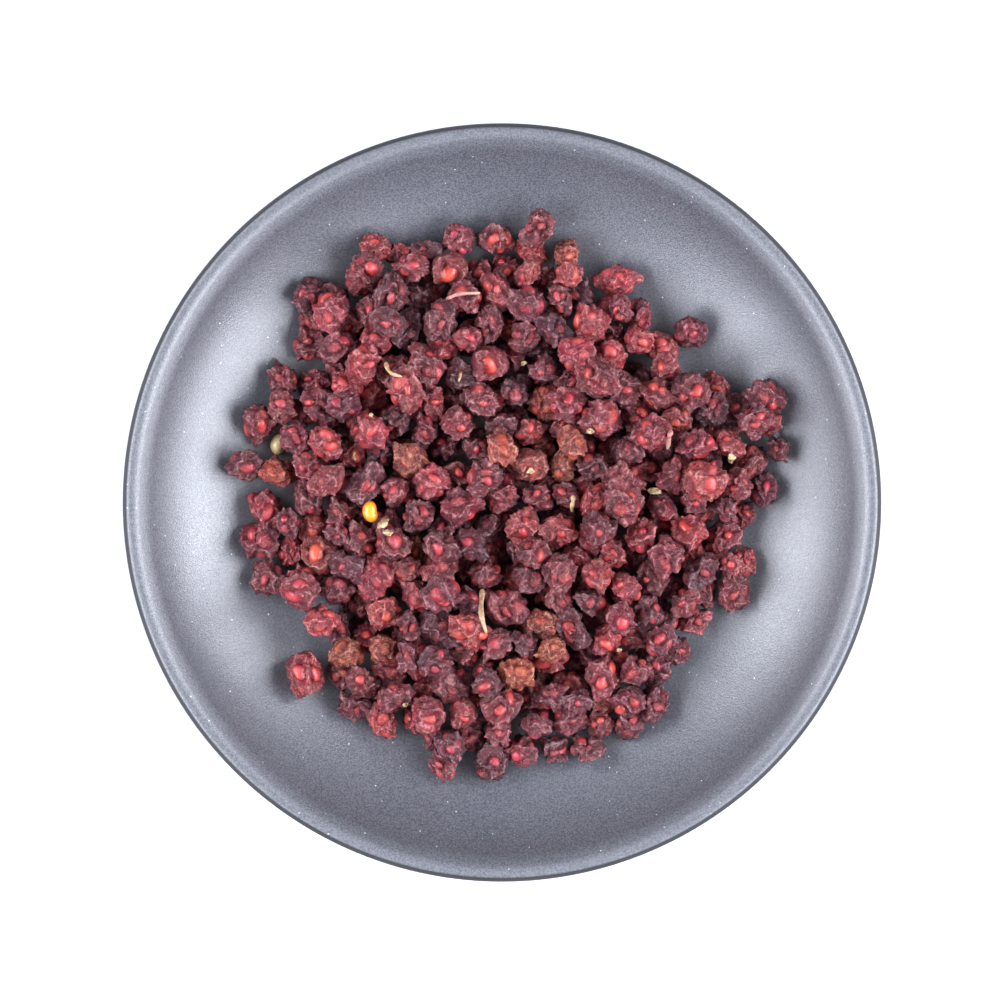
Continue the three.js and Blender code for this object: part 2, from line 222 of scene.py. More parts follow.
def new_material(name):
    """An empty material with its nodes on, ready to be filled: returns it, its nodes and its Object
    coordinates."""
    material = bpy.data.materials.new(name)
    material.use_nodes = True
    material.node_tree.nodes.clear()
    nodes = Nodes(material.node_tree)
    return material, nodes, nodes.add("ShaderNodeTexCoord").outputs["Object"]


def finish_material(nodes, inputs):
    """Ends a material with one Principled shader."""
    shader = nodes.add("ShaderNodeBsdfPrincipled", inputs)
    nodes.add("ShaderNodeOutputMaterial", {"Surface": shader.outputs["BSDF"]})


def glaze_material():
    """Dark blue-grey satin glaze, a little uneven, with tiny white specks. Over the lip's outer edge it is
    painted near black with little shine, a painted shade. Near the table the bare clay shows, and under
    the heap the glaze is painted a dark mottled brown, a painted shadow of the heap."""
    material, nodes, place = new_material("satin glaze")
    cloud = nodes.noise(place, 60.0, detail=3.0)
    body = nodes.mix(cloud, (0.066, 0.070, 0.087, 1), (0.092, 0.096, 0.116, 1))
    cells = nodes.add("ShaderNodeTexVoronoi", {"Vector": place, "Scale": 520.0, "Randomness": 1.0})
    own = nodes.add("ShaderNodeSeparateColor", {"Color": cells.outputs["Color"]}).outputs[0]
    near = nodes.spread(cells.outputs["Distance"], 0.05, 0.11, 1.0, 0.0)
    speck = nodes.math("MULTIPLY", near, nodes.spread(own, 0.45, 1.0, 0.0, 0.8))
    grain = nodes.spread(nodes.noise(place, 2900.0, detail=1.0), 0.36, 0.64)
    dark_grain = nodes.mix(0.55, body, (0.030, 0.032, 0.045, 1))
    light_grain = nodes.mix(0.4, body, (0.16, 0.165, 0.185, 1))
    grainy = nodes.mix(grain, dark_grain, light_grain)
    glaze = nodes.mix(speck, grainy, (0.75, 0.75, 0.78, 1))
    # Painted shadow: under the heap the glaze is mixed towards a dark mottled brown that stands in for the
    # heap's shadow.
    heap_shade = nodes.attribute("heap_shade")
    shade_mottle = nodes.spread(nodes.noise(place, 1200.0, detail=3.0, roughness=0.7), 0.35, 0.7)
    heap_shade_color = nodes.mix(shade_mottle, (0.030, 0.014, 0.017, 1), (0.090, 0.022, 0.025, 1))
    glaze = nodes.mix(nodes.math("MULTIPLY", heap_shade, 0.9), glaze, heap_shade_color)
    height = nodes.add("ShaderNodeSeparateXYZ", {"Vector": place}).outputs["Z"]
    ragged = nodes.math("ADD", height, nodes.math("MULTIPLY", nodes.noise(place, 400.0), 0.6 * MM))
    glazed = nodes.spread(ragged, GLAZED_FROM[0] * MM, GLAZED_FROM[1] * MM)
    clay = nodes.mix(nodes.noise(place, 900.0), (0.20, 0.15, 0.11, 1), (0.33, 0.26, 0.20, 1))
    patchy = nodes.spread(nodes.noise(place, 35.0, detail=4.0), 0.3, 0.7, 0.36, 0.42)
    peel = nodes.noise(place, 3600.0, detail=1.0, roughness=0.6)
    patchy = nodes.math("ADD", patchy, nodes.spread(peel, 0.35, 0.65, -0.06, 0.06))
    level = nodes.add("ShaderNodeVectorMath", {0: place, 1: (1, 1, 0)}, operation="MULTIPLY").outputs[0]
    radius = nodes.add("ShaderNodeVectorMath", {0: level}, operation="LENGTH").outputs["Value"]
    matte = nodes.spread(radius, FLARE_MATTE[0] * MM, FLARE_MATTE[1] * MM, 0.0, 0.10)
    patchy = nodes.math("ADD", patchy, matte)
    patchy = nodes.math("ADD", patchy, nodes.math("MULTIPLY", heap_shade, 0.5))
    rough = nodes.blend(glazed, 0.85, patchy)
    satin = nodes.add("ShaderNodeBsdfPrincipled", {
        "Base Color": nodes.mix(glazed, clay, glaze),
        "Roughness": rough,
        "IOR": 1.7,
        "Specular IOR Level": 1.0,
        "Normal": nodes.bump(peel, 1.0, 0.06),
    })
    # Painted shade: over the lip's outer edge the glaze is swapped for a near black one with little shine, so
    # the edge shows no reflection of the table.
    shaded_lip = nodes.add("ShaderNodeBsdfPrincipled", {
        "Base Color": nodes.mix(cloud, (0.030, 0.030, 0.034, 1), (0.048, 0.047, 0.052, 1)),
        "Roughness": 0.55,
        "Specular IOR Level": 0.2,
        "Normal": nodes.bump(peel, 0.4, 0.08),
    })
    lip_shade = nodes.spread(radius, LIP_SHADE[0] * MM, LIP_SHADE[1] * MM)
    inputs = {0: lip_shade, 1: satin.outputs["BSDF"], 2: shaded_lip.outputs["BSDF"]}
    shader = nodes.add("ShaderNodeMixShader", inputs).outputs["Shader"]
    nodes.add("ShaderNodeOutputMaterial", {"Surface": shader})
    return material


points, faces = turned(bowl_profile(), BOWL_SIDES)
bowl = add_piece("glazed_bowl", points, faces, glaze_material())
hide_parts("bowl")

# The berries lie where they fell. Their places come from letting the same heap settle again as the solids
# were settled, with the same draws in the same order: the outermost ones and a few on top are listed one
# by one, and the rest are dropped between them. They stick together in clumps as they come to rest.
BERRY_RADIUS = (2.9, 4.0)
BERRY_GAP = 0.35
STUCK_SHARE = 0.96
CLUMP_SIZE = (6, 10)
SMALLEST_CLUMP = 4
SEED_RISES = [(0.82, 0.99), (0.2, 0.8), (-0.1, 0.5), (-0.5, 0.1)]
SEED_LENGTH = 4.6
VIEW_CENTRE = (502, 502.5)
MM_PER_PIXEL = (2 * BOWL_RADIUS) / 760

HEAP_EDGE = [
    (370, 244, 29), (397, 252, 27), (431, 247, 34), (463, 238, 37), (489, 239, 36), (507, 262, 34),
    (536, 247, 32), (538, 228, 34), (564, 250, 31), (546, 273, 33), (578, 293, 36), (612, 303, 30),
    (618, 279, 34), (638, 314, 32), (662, 346, 34), (693, 330, 36), (648, 388, 36), (690, 392, 40),
    (717, 386, 29), (741, 408, 33), (765, 396, 36), (772, 420, 27), (781, 452, 27), (756, 463, 40),
    (766, 491, 32), (748, 515, 28), (731, 538, 40), (746, 563, 28), (738, 588, 36), (707, 592, 32),
    (700, 618, 30), (668, 622, 33), (677, 652, 28), (656, 674, 34), (660, 706, 37), (628, 728, 31),
    (603, 728, 28), (582, 753, 32), (553, 750, 31), (525, 752, 35), (494, 765, 37), (465, 735, 36),
    (442, 769, 31), (440, 743, 28), (409, 722, 28), (383, 722, 34), (355, 709, 32), (341, 675, 32),
    (332, 629, 36), (298, 580, 35), (265, 576, 37), (262, 539, 40), (263, 506, 35), (243, 465, 35),
    (255, 420, 36), (282, 378, 33), (306, 343, 33), (309, 319, 25), (310, 292, 30), (334, 291, 27),
    (357, 280, 32),
]
STRAY_BERRY = (302, 675, 43)
TOP_BERRIES = [
    (488, 362, 42), (380, 573, 41), (410, 548, 33), (601, 416, 42), (705, 480, 42), (556, 664, 43),
    (514, 672, 37), (500, 610, 42), (340, 342, 37), (325, 553, 41), (390, 288, 37), (684, 537, 37),
]
SEED_ON_HEAP = (371, 512)
SEED_ON_FLOOR = (285, 449)
FLOOR_LAYER = {"tries": 6000, "spacing": 6.9, "height": FLOOR_HEIGHT + 4, "inset": 1}
UPPER_LAYERS = [
    {"tries": 6000, "spacing": 6.0, "height": FLOOR_HEIGHT + 12, "inset": 0.95},
    {"tries": 3000, "spacing": 6.6, "height": FLOOR_HEIGHT + 19, "inset": 0.75},
]
SETTLING = {
    "steps": 300, "stick_at": 150, "still_at": 250, "fall": 0.16, "passes": 3, "near": 11, "renew": 15,
}
HOLD = {"edge": 0.35, "top": 0.2, "floor": 0.3, "loose": 0.03}
HEAP_SHADE_REACH = 62
HEAP_SHADE_INSETS = (0.96, 0.92, 0.88, 0.84)
TOUCH = 0.02
STICKS_WITHIN = 1.1
JOINS_WITHIN = 2.5


class Draws:
    """Park and Miller's generator: whole numbers only, so every draw is the same in any language."""

    drawn = 1907

    def next(self):
        self.drawn = (self.drawn * 48271) % 2147483647
        return self.drawn / 2147483647

    def between(self, ends):
        return ends[0] + (ends[1] - ends[0]) * self.next()


draws = Draws()


def across(px):
    return (px - VIEW_CENTRE[0]) * MM_PER_PIXEL


def up(py):
    return (VIEW_CENTRE[1] - py) * MM_PER_PIXEL


class Berry:
    """One berry: its centre, its radius, what kind it is, how firmly its first place holds it, and its
    clump."""

    __slots__ = ("x", "y", "z", "radius", "kind", "hold", "home_x", "home_y", "clump", "turn", "seeds")

    def __init__(self, x, y, z, radius, kind, hold):
        self.x, self.y, self.z = x, y, z
        self.radius, self.kind, self.hold = radius, kind, hold
        self.home_x, self.home_y = x, y
        self.clump = -1

    @property
    def centre(self):
        return np.array([self.x, self.y, self.z])

    @property
    def sticky(self):
        return self.kind == "berry"


def placed_berry(place, height, kind, hold):
    px, py, width = place
    return Berry(across(px), up(py), height, (width * MM_PER_PIXEL) / 2, kind, hold)


def inside_heap(x, y, inset):
    """Whether a point lies inside the loop of the outermost berries, drawn in by a share."""
    inside = False
    for i, (px, py, _) in enumerate(HEAP_EDGE):
        qx, qy, _ = HEAP_EDGE[i - 1]
        ax, ay, bx, by = across(px) * inset, up(py) * inset, across(qx) * inset, up(qy) * inset
        if (ay > y) != (by > y) and x < ((bx - ax) * (y - ay)) / (by - ay) + ax:
            inside = not inside
    return inside


def scatter(berries, layer, hold):
    """Fills one layer with berries drawn at random, each kept only where it has room."""
    height, spacing = layer["height"], layer["spacing"]
    for _ in range(layer["tries"]):
        x = (2 * draws.next() - 1) * BOWL_RADIUS * 0.8
        y = (2 * draws.next() - 1) * BOWL_RADIUS * 0.8
        radius = draws.between(BERRY_RADIUS)
        crowded = False
        for b in berries:
            dx, dy = b.x - x, b.y - y
            dz = 0 if b.kind == "floor seed" else b.z - height
            if dx * dx + dy * dy + dz * dz < spacing * spacing:
                crowded = True
                break
        if not crowded and inside_heap(x, y, layer["inset"]):
            berries.append(Berry(x, y, height, radius, "berry", hold))


def near_pairs(berries):
    near = SETTLING["near"] * SETTLING["near"]
    pairs = []
    for i, a in enumerate(berries):
        for j in range(i + 1, len(berries)):
            b = berries[j]
            dx, dy, dz = a.x - b.x, a.y - b.y, a.z - b.z
            if dx * dx + dy * dy + dz * dz < near:
                pairs.append((i, j))
    return pairs


def rest_on_bowl(b):
    """Keeps a berry above the flat floor, and inside the curve of the wall further out."""
    gap = b.radius + BERRY_GAP
    reach = math.sqrt(b.x * b.x + b.y * b.y)
    if reach <= FLOOR_RADIUS:
        b.z = max(b.z, FLOOR_HEIGHT + gap)
        return
    out = reach - FLOOR_RADIUS
    down = FLOOR_HEIGHT + WALL_CURVE - b.z
    length = math.sqrt(out * out + down * down)
    if length <= WALL_CURVE - gap or down < 0:
        return
    pull = (WALL_CURVE - gap) / length
    share = (FLOOR_RADIUS + out * pull) / reach
    b.x *= share
    b.y *= share
    b.z = FLOOR_HEIGHT + WALL_CURVE - down * pull


def meet(a, b, stuck):
    """Moves two berries apart until they touch, or together where they are stuck to each other."""
    dx, dy, dz = b.x - a.x, b.y - a.y, b.z - a.z
    apart = math.sqrt(dx * dx + dy * dy + dz * dz)
    together = a.clump >= 0 and a.clump == b.clump
    wanted = STUCK_SHARE * (a.radius + b.radius) if together else a.radius + b.radius + BERRY_GAP
    if apart >= wanted and not stuck:
        return
    push = (apart - wanted) / apart / 2
    a.x += dx * push
    a.y += dy * push
    a.z += dz * push
    b.x -= dx * push
    b.y -= dy * push
    b.z -= dz * push


def closest(berries, beside, members, within, test):
    """The smallest gap from any of the members to a berry beside it that passes the test, with the two
    berries."""
    best = (within, None, None)
    for m in members:
        a = berries[m]
        for n in beside[m]:
            b = berries[n]
            dx, dy, dz = b.x - a.x, b.y - a.y, b.z - a.z
            gap = math.sqrt(dx * dx + dy * dy + dz * dz) - a.radius - b.radius
            if gap < best[0] and test(b):
                best = (gap, m, n)
    return best


def stick_together(berries, pairs):
    """Gathers berries that touch into clumps, and returns the pairs that are stuck to each other."""
    beside = [[] for _ in berries]
    for i, j in pairs:
        beside[i].append(j)
        beside[j].append(i)
    links = []
    clumps = 0
    for i, first in enumerate(berries):
        if first.clump >= 0 or not first.sticky:
            continue
        size = math.floor(draws.between(CLUMP_SIZE))
        members = [i]
        first.clump = clumps
        while len(members) < size:
            _, m, n = closest(berries, beside, members, STICKS_WITHIN, lambda b: b.clump < 0 and b.sticky)
            if n is None:
                break
            berries[n].clump = clumps
            members.append(n)
            links.append((m, n))
        clumps += 1
    join_small_clumps(berries, beside, links)
    return links


def join_small_clumps(berries, beside, links):
    """Sticks each clump that is too small to the nearest berry of the clump beside it."""
    for berry in berries:
        members = [k for k, b in enumerate(berries) if b.clump == berry.clump]
        if not berry.sticky or len(members) >= SMALLEST_CLUMP:
            continue
        own = berry.clump
        _, m, n = closest(berries, beside, members, JOINS_WITHIN, lambda b: b.sticky and b.clump != own)
        if n is None:
            continue
        for k in members:
            berries[k].clump = berries[n].clump
        links.append((m, n))


def settle(berries):
    """Lets the heap fall and settle: every step drops each berry a little and then parts what overlaps."""
    pairs, links = [], []
    for step in range(SETTLING["steps"]):
        if step % SETTLING["renew"] == 0:
            pairs = near_pairs(berries)
        if step == SETTLING["stick_at"]:
            links = stick_together(berries, pairs)
        for b in berries if step < SETTLING["still_at"] else []:
            b.x += (b.home_x - b.x) * b.hold
            b.y += (b.home_y - b.y) * b.hold
            b.z -= SETTLING["fall"]
        for _ in range(SETTLING["passes"]):
            for i, j in links:
                meet(berries[i], berries[j], True)
            for i, j in pairs:
                meet(berries[i], berries[j], False)
            for b in berries:
                rest_on_bowl(b)


def give_seeds(berry):
    """Gives a berry its two to four seeds, spread around it. The first stands up in the middle."""
    count = 2 + math.floor(3 * draws.next())
    berry.turn = 2 * math.pi * draws.next()
    berry.seeds = []
    for k in range(count):
        angle = berry.turn + (2 * math.pi * (k + 0.4 * draws.next())) / count
        rise = draws.between(SEED_RISES[k])
        level = math.sqrt(1 - rise * rise)
        berry.seeds.append((level * math.cos(angle), level * math.sin(angle), rise))


def heap_of_berries():
    berries = [placed_berry(place, FLOOR_HEIGHT + 4, "berry", HOLD["edge"]) for place in HEAP_EDGE]
    berries.append(placed_berry(STRAY_BERRY, FLOOR_HEIGHT + 5, "stray", HOLD["edge"]))
    for (px, py), height, kind in [(SEED_ON_HEAP, 24, "heap seed"), (SEED_ON_FLOOR, 3, "floor seed")]:
        berries.append(Berry(across(px), up(py), FLOOR_HEIGHT + height, SEED_LENGTH / 2, kind, HOLD["edge"]))
    scatter(berries, FLOOR_LAYER, HOLD["floor"])
    berries += [placed_berry(place, FLOOR_HEIGHT + 14, "berry", HOLD["top"]) for place in TOP_BERRIES]
    for layer in UPPER_LAYERS:
        scatter(berries, layer, HOLD["loose"])
    settle(berries)
    for berry in berries:
        give_seeds(berry)
    return berries


def add_heap_shade():
    """Marks the bowl's points that lie well under the heap, where the heap's shadow is painted on the glaze."""
    points = np.zeros(3 * len(bowl.data.vertices))
    bowl.data.vertices.foreach_get("co", points)
    x, y, z = points.reshape(-1, 3).T / MM
    low = (z > FLOOR_HEIGHT - TOUCH) & (np.hypot(x, y) < HEAP_SHADE_REACH)
    heap_shade = np.zeros(len(x), dtype=np.float32)
    for i in np.flatnonzero(low):
        heap_shade[i] = sum(inside_heap(x[i], y[i], inset) for inset in HEAP_SHADE_INSETS) / len(HEAP_SHADE_INSETS)
    bowl.data.attributes.new("heap_shade", "FLOAT", "POINT").data.foreach_set("value", heap_shade)


heap = heap_of_berries()
add_heap_shade()

# Each berry is a thin leathery skin that dried onto its seeds. The skin sank in between folds and pinched
# corners, and a seed under it stands up in the middle of a sunken pocket, tight, smooth and glowing red.
# A few skins are torn open like a cup. Every berry of a clump is a closed skin of its own, and a clump is
# one piece.
GRIDS = [(0.35, 16), (0.75, 11), (1.01, 7)]
DENSER_ON_TOP = 0.5
# Painted light: how much lighter and redder a berry hidden under others is painted, to lift its shade.
HIDDEN_LIGHT_LIFT = 0.3
GOLDEN_ANGLE = math.pi * (3 - math.sqrt(5))


def look(share, tint, warm, glow, shine, pocket, rim):
    """How a kind of berry looks: its share of them all, and the range that each one's value is drawn
    from. tint goes from black to red, warm to orange-brown, glow is the seeds' colour, shine how clearly
    they show, pocket how deep they lie and rim how wide their pockets are."""
    return {
        "share": share, "tint": tint, "warm": warm, "glow": glow, "shine": shine, "pocket": pocket, "rim": rim,
    }


LOOKS = {
    "dark": look(0.24, (0.0, 0.3), (0, 0.1), (0.0, 0.6), (0.1, 0.9), (0.18, 0.36), (0.74, 1.05)),
    "wine": look(0.52, (0.28, 0.66), (0, 0.12), (0.1, 0.9), (0.3, 1.0), (0.10, 0.30), (0.72, 1.0)),
    "red": look(0.21, (0.66, 1.0), (0, 0.2), (0.2, 1.0), (0.5, 1.0), (0.04, 0.16), (0.66, 0.92)),
    "rust": look(0.02, (0.50, 0.85), (0.3, 0.65), (0.7, 1.0), (0.2, 0.8), (0.03, 0.14), (0.66, 0.92)),
    "open": look(0.01, (0.30, 0.55), (0.1, 0.3), (0.9, 1.0), (1.0, 1.0), (0.50, 0.56), (0.95, 1.15)),
}
OWN_LOOKS = [
    (488, 362, "open"), (325, 553, "open"), (449, 262, "open"), (410, 548, "rust"), (580, 443, "rust"),
    (538, 610, "rust"), (556, 664, "rust"), (514, 675, "rust"), (380, 573, "red"), (601, 416, "red"),
    (705, 480, "red"), (684, 537, "red"), (771, 420, "red"), (536, 536, "red"), (620, 554, "red"),
]


SKIN_MASKS = (
    "seed", "dome_light", "near", "crest", "hollow", "tint", "warm", "glow", "ring", "border", "wave", "small_wave",
)
PALE_LINES = [("ring", 0.08, 1.0), ("border", 0.06, 0.85), ("wave", 0.16, 0.8), ("small_wave", 0.16, 0.5)]
SKIN_LEVEL = 0.85
BRIM_HEIGHT = 0.14
SEED_LEVEL = 0.74
FAR = 9


def ball_grid(steps, denser):
    """A cube whose six sides, each a grid of steps by steps squares, are blown up to a ball of radius 1.
    Every point is then moved up before it is brought back to the ball, so the grid is finer on top."""
    line = np.tan(np.linspace(-1, 1, steps + 1) * math.pi / 4)
    u, v = np.meshgrid(line, line, indexing="ij")
    one = np.ones_like(u)
    sides = [(one, u, v), (-one, v, u), (v, one, u), (u, -one, v), (u, v, one), (v, u, -one)]
    points = unit(np.concatenate([np.stack(side, axis=2).reshape(-1, 3) for side in sides]))
    i, j = np.meshgrid(np.arange(steps), np.arange(steps), indexing="ij")
    corner = (i * (steps + 1) + j).ravel()
    quad = np.stack([corner, corner + steps + 1, corner + steps + 2, corner + 1], axis=1)
    quads = np.concatenate([quad + side * (steps + 1) ** 2 for side in range(6)])
    _, kept, places = np.unique(points.round(6), axis=0, return_index=True, return_inverse=True)
    return unit(points[kept] + (0, 0, denser)), places.ravel()[quads]


def unit(vectors):
    return vectors / np.linalg.norm(vectors, axis=-1, keepdims=True)


def smoothstep(value, low, high):
    share = np.clip((value - low) / (high - low), 0, 1)
    return share * share * (3 - 2 * share)


def waves(directions, pitch, rng, count=8):
    """A smooth random field on a ball, about one in size: the sum of a few plane waves, each the sine of the
    distance along its own random way, pitch times over, plus a random shift."""
    travel = rng.normal(size=(3, count)) * pitch / math.sqrt(3)
    shift = rng.uniform(0, 2 * math.pi, count)
    return np.sin(directions @ travel + shift).sum(axis=1) * math.sqrt(2 / count)


def spiral(count, shake, rng):
    """Directions spread evenly over a ball: each is a golden angle further round than the last and a little
    lower. The whole is turned at random, and each is moved by a share of their distance apart."""
    step = np.arange(count) + 0.5
    height = 1 - 2 * step / count
    level = np.sqrt(1 - height ** 2)
    round_z = step * GOLDEN_ANGLE
    points = np.stack([level * np.cos(round_z), level * np.sin(round_z), height], axis=1)
    turn, _ = np.linalg.qr(rng.normal(size=(3, 3)))
    return unit(points @ turn + rng.normal(size=(count, 3)) * shake * math.sqrt(4 * math.pi / count))


def angles_to(directions, centres):
    return np.arccos(np.clip(directions @ centres.T, -1, 1))


def ridges(wave):
    """Narrow wandering crests with flat troughs between them: 1 where a random wave field passes through
    zero, and the square of what is left of 1 beside that."""
    return (1 - np.minimum(np.abs(wave), 1)) ** 2


def dishes(directions, centres, levels, blend):
    """The skin between pinched crests: each direction belongs to its nearest centre. Returns the centres'
    levels blended smoothly, and how far in angle a direction is from the border of its cell."""
    weight = np.exp(blend * (directions @ centres.T - 1))
    level = (weight * levels).sum(axis=1) / weight.sum(axis=1)
    nearest = np.sort(angles_to(directions, centres), axis=1)
    return level, nearest[:, 1] - nearest[:, 0]


def corners(directions, rng):
    """How far a few pinched corners of the skin stand out: each falls off from its tip with the angle
    from it."""
    count = int(rng.integers(5, 10))
    tips = spiral(count, 0.6, rng)
    height = 0.34 * rng.uniform(0, 1, count) ** 1.5
    width = rng.uniform(0.13, 0.34, count)
    return (height * np.exp(-angles_to(directions, tips) / width)).max(axis=1)


def pocket(directions, seed, size, edge, rng):
    """Where a direction lies about one seed. out is 1 on the edge of the seed, which is an oval in angle,
    size times the usual. rim is 1 on the edge of the pocket, a wavy ring whose mean angle is edge. pleat
    is 1 on the folds that run outwards from the ring."""
    along = rng.normal(size=3)
    along = unit(along - seed * (along @ seed))
    side = np.cross(seed, along)
    angle = angles_to(directions, seed)
    heading = np.arctan2(directions @ side, directions @ along)
    length, width = size * rng.uniform(0.50, 0.70), size * rng.uniform(0.40, 0.50)
    out = angle * np.sqrt((np.cos(heading) / length) ** 2 + (np.sin(heading) / width) ** 2)
    shift = rng.uniform(0, 2 * math.pi, 3)
    wave = 0.14 * np.sin(2 * heading + shift[0]) + 0.11 * np.sin(3 * heading + shift[1])
    wave = wave + 0.08 * np.sin(5 * heading + shift[2])
    rim = angle / (edge * (1 + wave))
    turns = int(rng.integers(7, 13)) / 2
    pleat = (1 - np.abs(np.sin(turns * heading + 0.9 * waves(directions, 4.0, rng)))) ** 2
    return out, rim, pleat * np.exp(-((rim - 1.1) / 0.4) ** 2)


def oval(directions, rng):
    """The reach of a slightly squashed ball along each direction: one over the length of the direction
    after it is stretched by one over each half axis."""
    turn, _ = np.linalg.qr(rng.normal(size=(3, 3)))
    half_axes = np.array([rng.uniform(1.04, 1.30), 1.0, rng.uniform(0.72, 0.96)])
    return 1 / np.linalg.norm((directions @ turn) / half_axes, axis=1)


def rest_direction(berry):
    """The way from a berry's centre to the nearest point of the bowl, and how far that is."""
    reach = math.hypot(berry.x, berry.y)
    if reach <= FLOOR_RADIUS:
        return np.array([0.0, 0.0, -1.0]), berry.z - FLOOR_HEIGHT
    level = np.array([berry.x, berry.y, 0]) / reach
    out, down = reach - FLOOR_RADIUS, FLOOR_HEIGHT + WALL_CURVE - berry.z
    length = math.hypot(out, down)
    return (level * out - np.array([0, 0, down])) / length, WALL_CURVE - length


def rested(reach, directions, berry):
    """The reach of a skin that lies on the bowl: it just touches it and goes no further."""
    down, distance = rest_direction(berry)
    if distance > berry.radius + 0.6:
        return reach
    facing = directions @ down
    floor = (distance - TOUCH) / berry.radius
    foot = smoothstep(facing, 0.75, 0.97)
    reach = reach * (1 - foot) + foot * floor
    return np.where(facing > 0.3, np.minimum(reach, floor / np.maximum(facing, 0.3)), reach)


def berry_skin(berry, kind, hidden, directions, rng):
    """One berry's skin, by its reach along each direction: a squashed ball with pinched corners, broken
    up into hollow dishes with crests between them and small folds over those, and sunk in a smooth pocket
    with a raised ring around each seed. The seeds are ovals that stand up in the pockets, and the skin
    runs over them without a seam. A berry that lies hidden under others is painted redder and lighter, a
    painted light that lifts its shade. Returns the points and the masks that colour them."""
    bend = np.stack([waves(directions, 3.0, rng) for _ in range(3)], axis=1)
    jitter = np.stack([waves(directions, 9.0, rng) for _ in range(3)], axis=1)
    bent = unit(directions + 0.12 * bend + 0.045 * jitter)
    values = LOOKS[kind]
    ragged = 0.6 + 0.4 * waves(directions, 5.0, rng)

    count = int(rng.integers(8, 13))
    level, border = dishes(bent, spiral(count, 0.3, rng), rng.uniform(-0.12, 0.06, count), 9)
    crest = np.exp(-border / 0.06) * np.clip(ragged, 0.1, 1.2)
    swell = np.exp(-border / 0.28)
    fold_wave = waves(bent, 5.0, rng)
    small_wave = waves(bent, 10.0, rng)

    depth = np.zeros(len(directions))
    bare = np.zeros(len(directions))
    collar = np.zeros(len(directions))
    ring = np.full(len(directions), float(FAR))
    pleats = np.zeros(len(directions))
    seed_reach = np.zeros(len(directions))
    shine = np.zeros(len(directions))
    dome_light = np.zeros(len(directions))
    near = np.zeros(len(directions))
    size, seeds, calm = (1.9, berry.seeds[:1], 0.4) if kind == "open" else (1, berry.seeds, 1)
    for seed in np.array(seeds):
        out, rim, pleat = pocket(bent, seed, size, rng.uniform(*values["rim"]), rng)
        own_shine = rng.uniform(*values["shine"])
        sunk = rng.uniform(*values["pocket"])
        inside = 1 - smoothstep(rim, 0.6, 1.0)
        depth = np.maximum(depth, sunk * inside)
        bare = np.maximum(bare, inside)
        collar = np.maximum(collar, np.exp(-np.abs(rim - 1) / 0.12))
        ring = np.where(np.abs(rim - 1) < np.abs(ring), rim - 1, ring)
        pleats = np.maximum(pleats, pleat)
        dome = np.sqrt(np.clip(1 - out ** 2.2, 0, 1))
        rise = SEED_LEVEL - 0.5 * sunk + (0.27 - 0.08 * (1 - own_shine)) * dome - FAR * (out >= 1)
        first = rise > seed_reach
        shine = np.where(first, own_shine, shine)
        # Painted light and shade: dome_light is 1 in a seed's middle and 0 at its edge, and paints the seed
        # lighter in the middle and darker towards the edge.
        dome_light = np.where(first, smoothstep(out, 1.0, 0.1), dome_light)
        seed_reach = np.maximum(seed_reach, rise)
        near = np.maximum(near, own_shine * np.exp(-(out / 1.7) ** 2))

    folds = 0.07 * crest + 0.10 * swell + 0.12 * pleats
    folds = folds + 0.17 * ridges(fold_wave) + 0.05 * ridges(small_wave)
    outside = (1 - 0.9 * bare) * calm * (level + corners(bent, rng) + folds)
    brim = BRIM_HEIGHT * collar * np.clip(ragged, 0.2, 1)
    skin_reach = SKIN_LEVEL + 0.05 * waves(directions, 2.0, rng) + outside + brim - depth
    over = seed_reach - skin_reach
    seed = smoothstep(over, -0.02, 0.09)
    sharpness = 30
    reach = skin_reach + np.log1p(np.exp(np.clip(sharpness * over, -60, 60))) / sharpness
    offset = directions * (rested(reach * oval(directions, rng), directions, berry) * berry.radius)[:, None]
    turn, _ = np.linalg.qr(rng.normal(size=(3, 3)))
    masks = {
        "seed": seed * shine,
        "dome_light": dome_light,
        "near": near * (1 - seed),
        "crest": np.clip(0.2 * crest + 0.3 * pleats ** 2 + 0.1 * collar, 0, 1) * (1 - seed),
        "ring": ring,
        "border": border,
        "wave": fold_wave,
        "small_wave": small_wave,
        # Painted shade: hollow marks the deep places and the seeds' pockets, where the skin's colour is
        # darkened.
        "hollow": np.maximum(smoothstep(reach, 0.86, 0.62), 0.5 * bare) * (1 - seed),
        # Painted light: a berry hidden under others gets a higher tint, lighter and redder, which lifts its
        # shade.
        "tint": np.full(len(offset), rng.uniform(*values["tint"]) + HIDDEN_LIGHT_LIFT * hidden),
        "warm": np.full(len(offset), rng.uniform(*values["warm"])),
        "glow": np.full(len(offset), rng.uniform(*values["glow"])),
        "fold": (offset @ turn) * (1, 1, rng.uniform(0.3, 0.8)) + rng.uniform(-50, 50, 3),
    }
    return berry.centre + offset, masks


def covered(berry):
    """The share of a berry's disc, seen from above, that lies under the berries over it."""
    spots = [(0, 0)] + [(0.7 * math.cos(a), 0.7 * math.sin(a)) for a in np.arange(6) * math.pi / 3]
    over = [b for b in heap if b.z > berry.z + 0.3 * berry.radius and b is not berry]
    hidden = 0
    for dx, dy in spots:
        x, y = berry.x + dx * berry.radius, berry.y + dy * berry.radius
        hidden += any(math.hypot(b.x - x, b.y - y) < 0.9 * b.radius for b in over)
    return hidden / len(spots)


def line_at_zero(nodes, value, width):
    """A thin line where a value passes through zero: 1 on it, and 0 from a width beside it."""
    return nodes.spread(nodes.math("ABSOLUTE", value), 0.0, width, 1.0, 0.0)


def thin_lines(nodes, place, scale, width, distortion=0.6):
    """Thin wandering lines, 1 on each: where a noise passes through its middle value."""
    value = nodes.noise(place, scale, detail=1.0, roughness=0.5, distortion=distortion)
    return line_at_zero(nodes, nodes.math("SUBTRACT", value, 0.5), width)


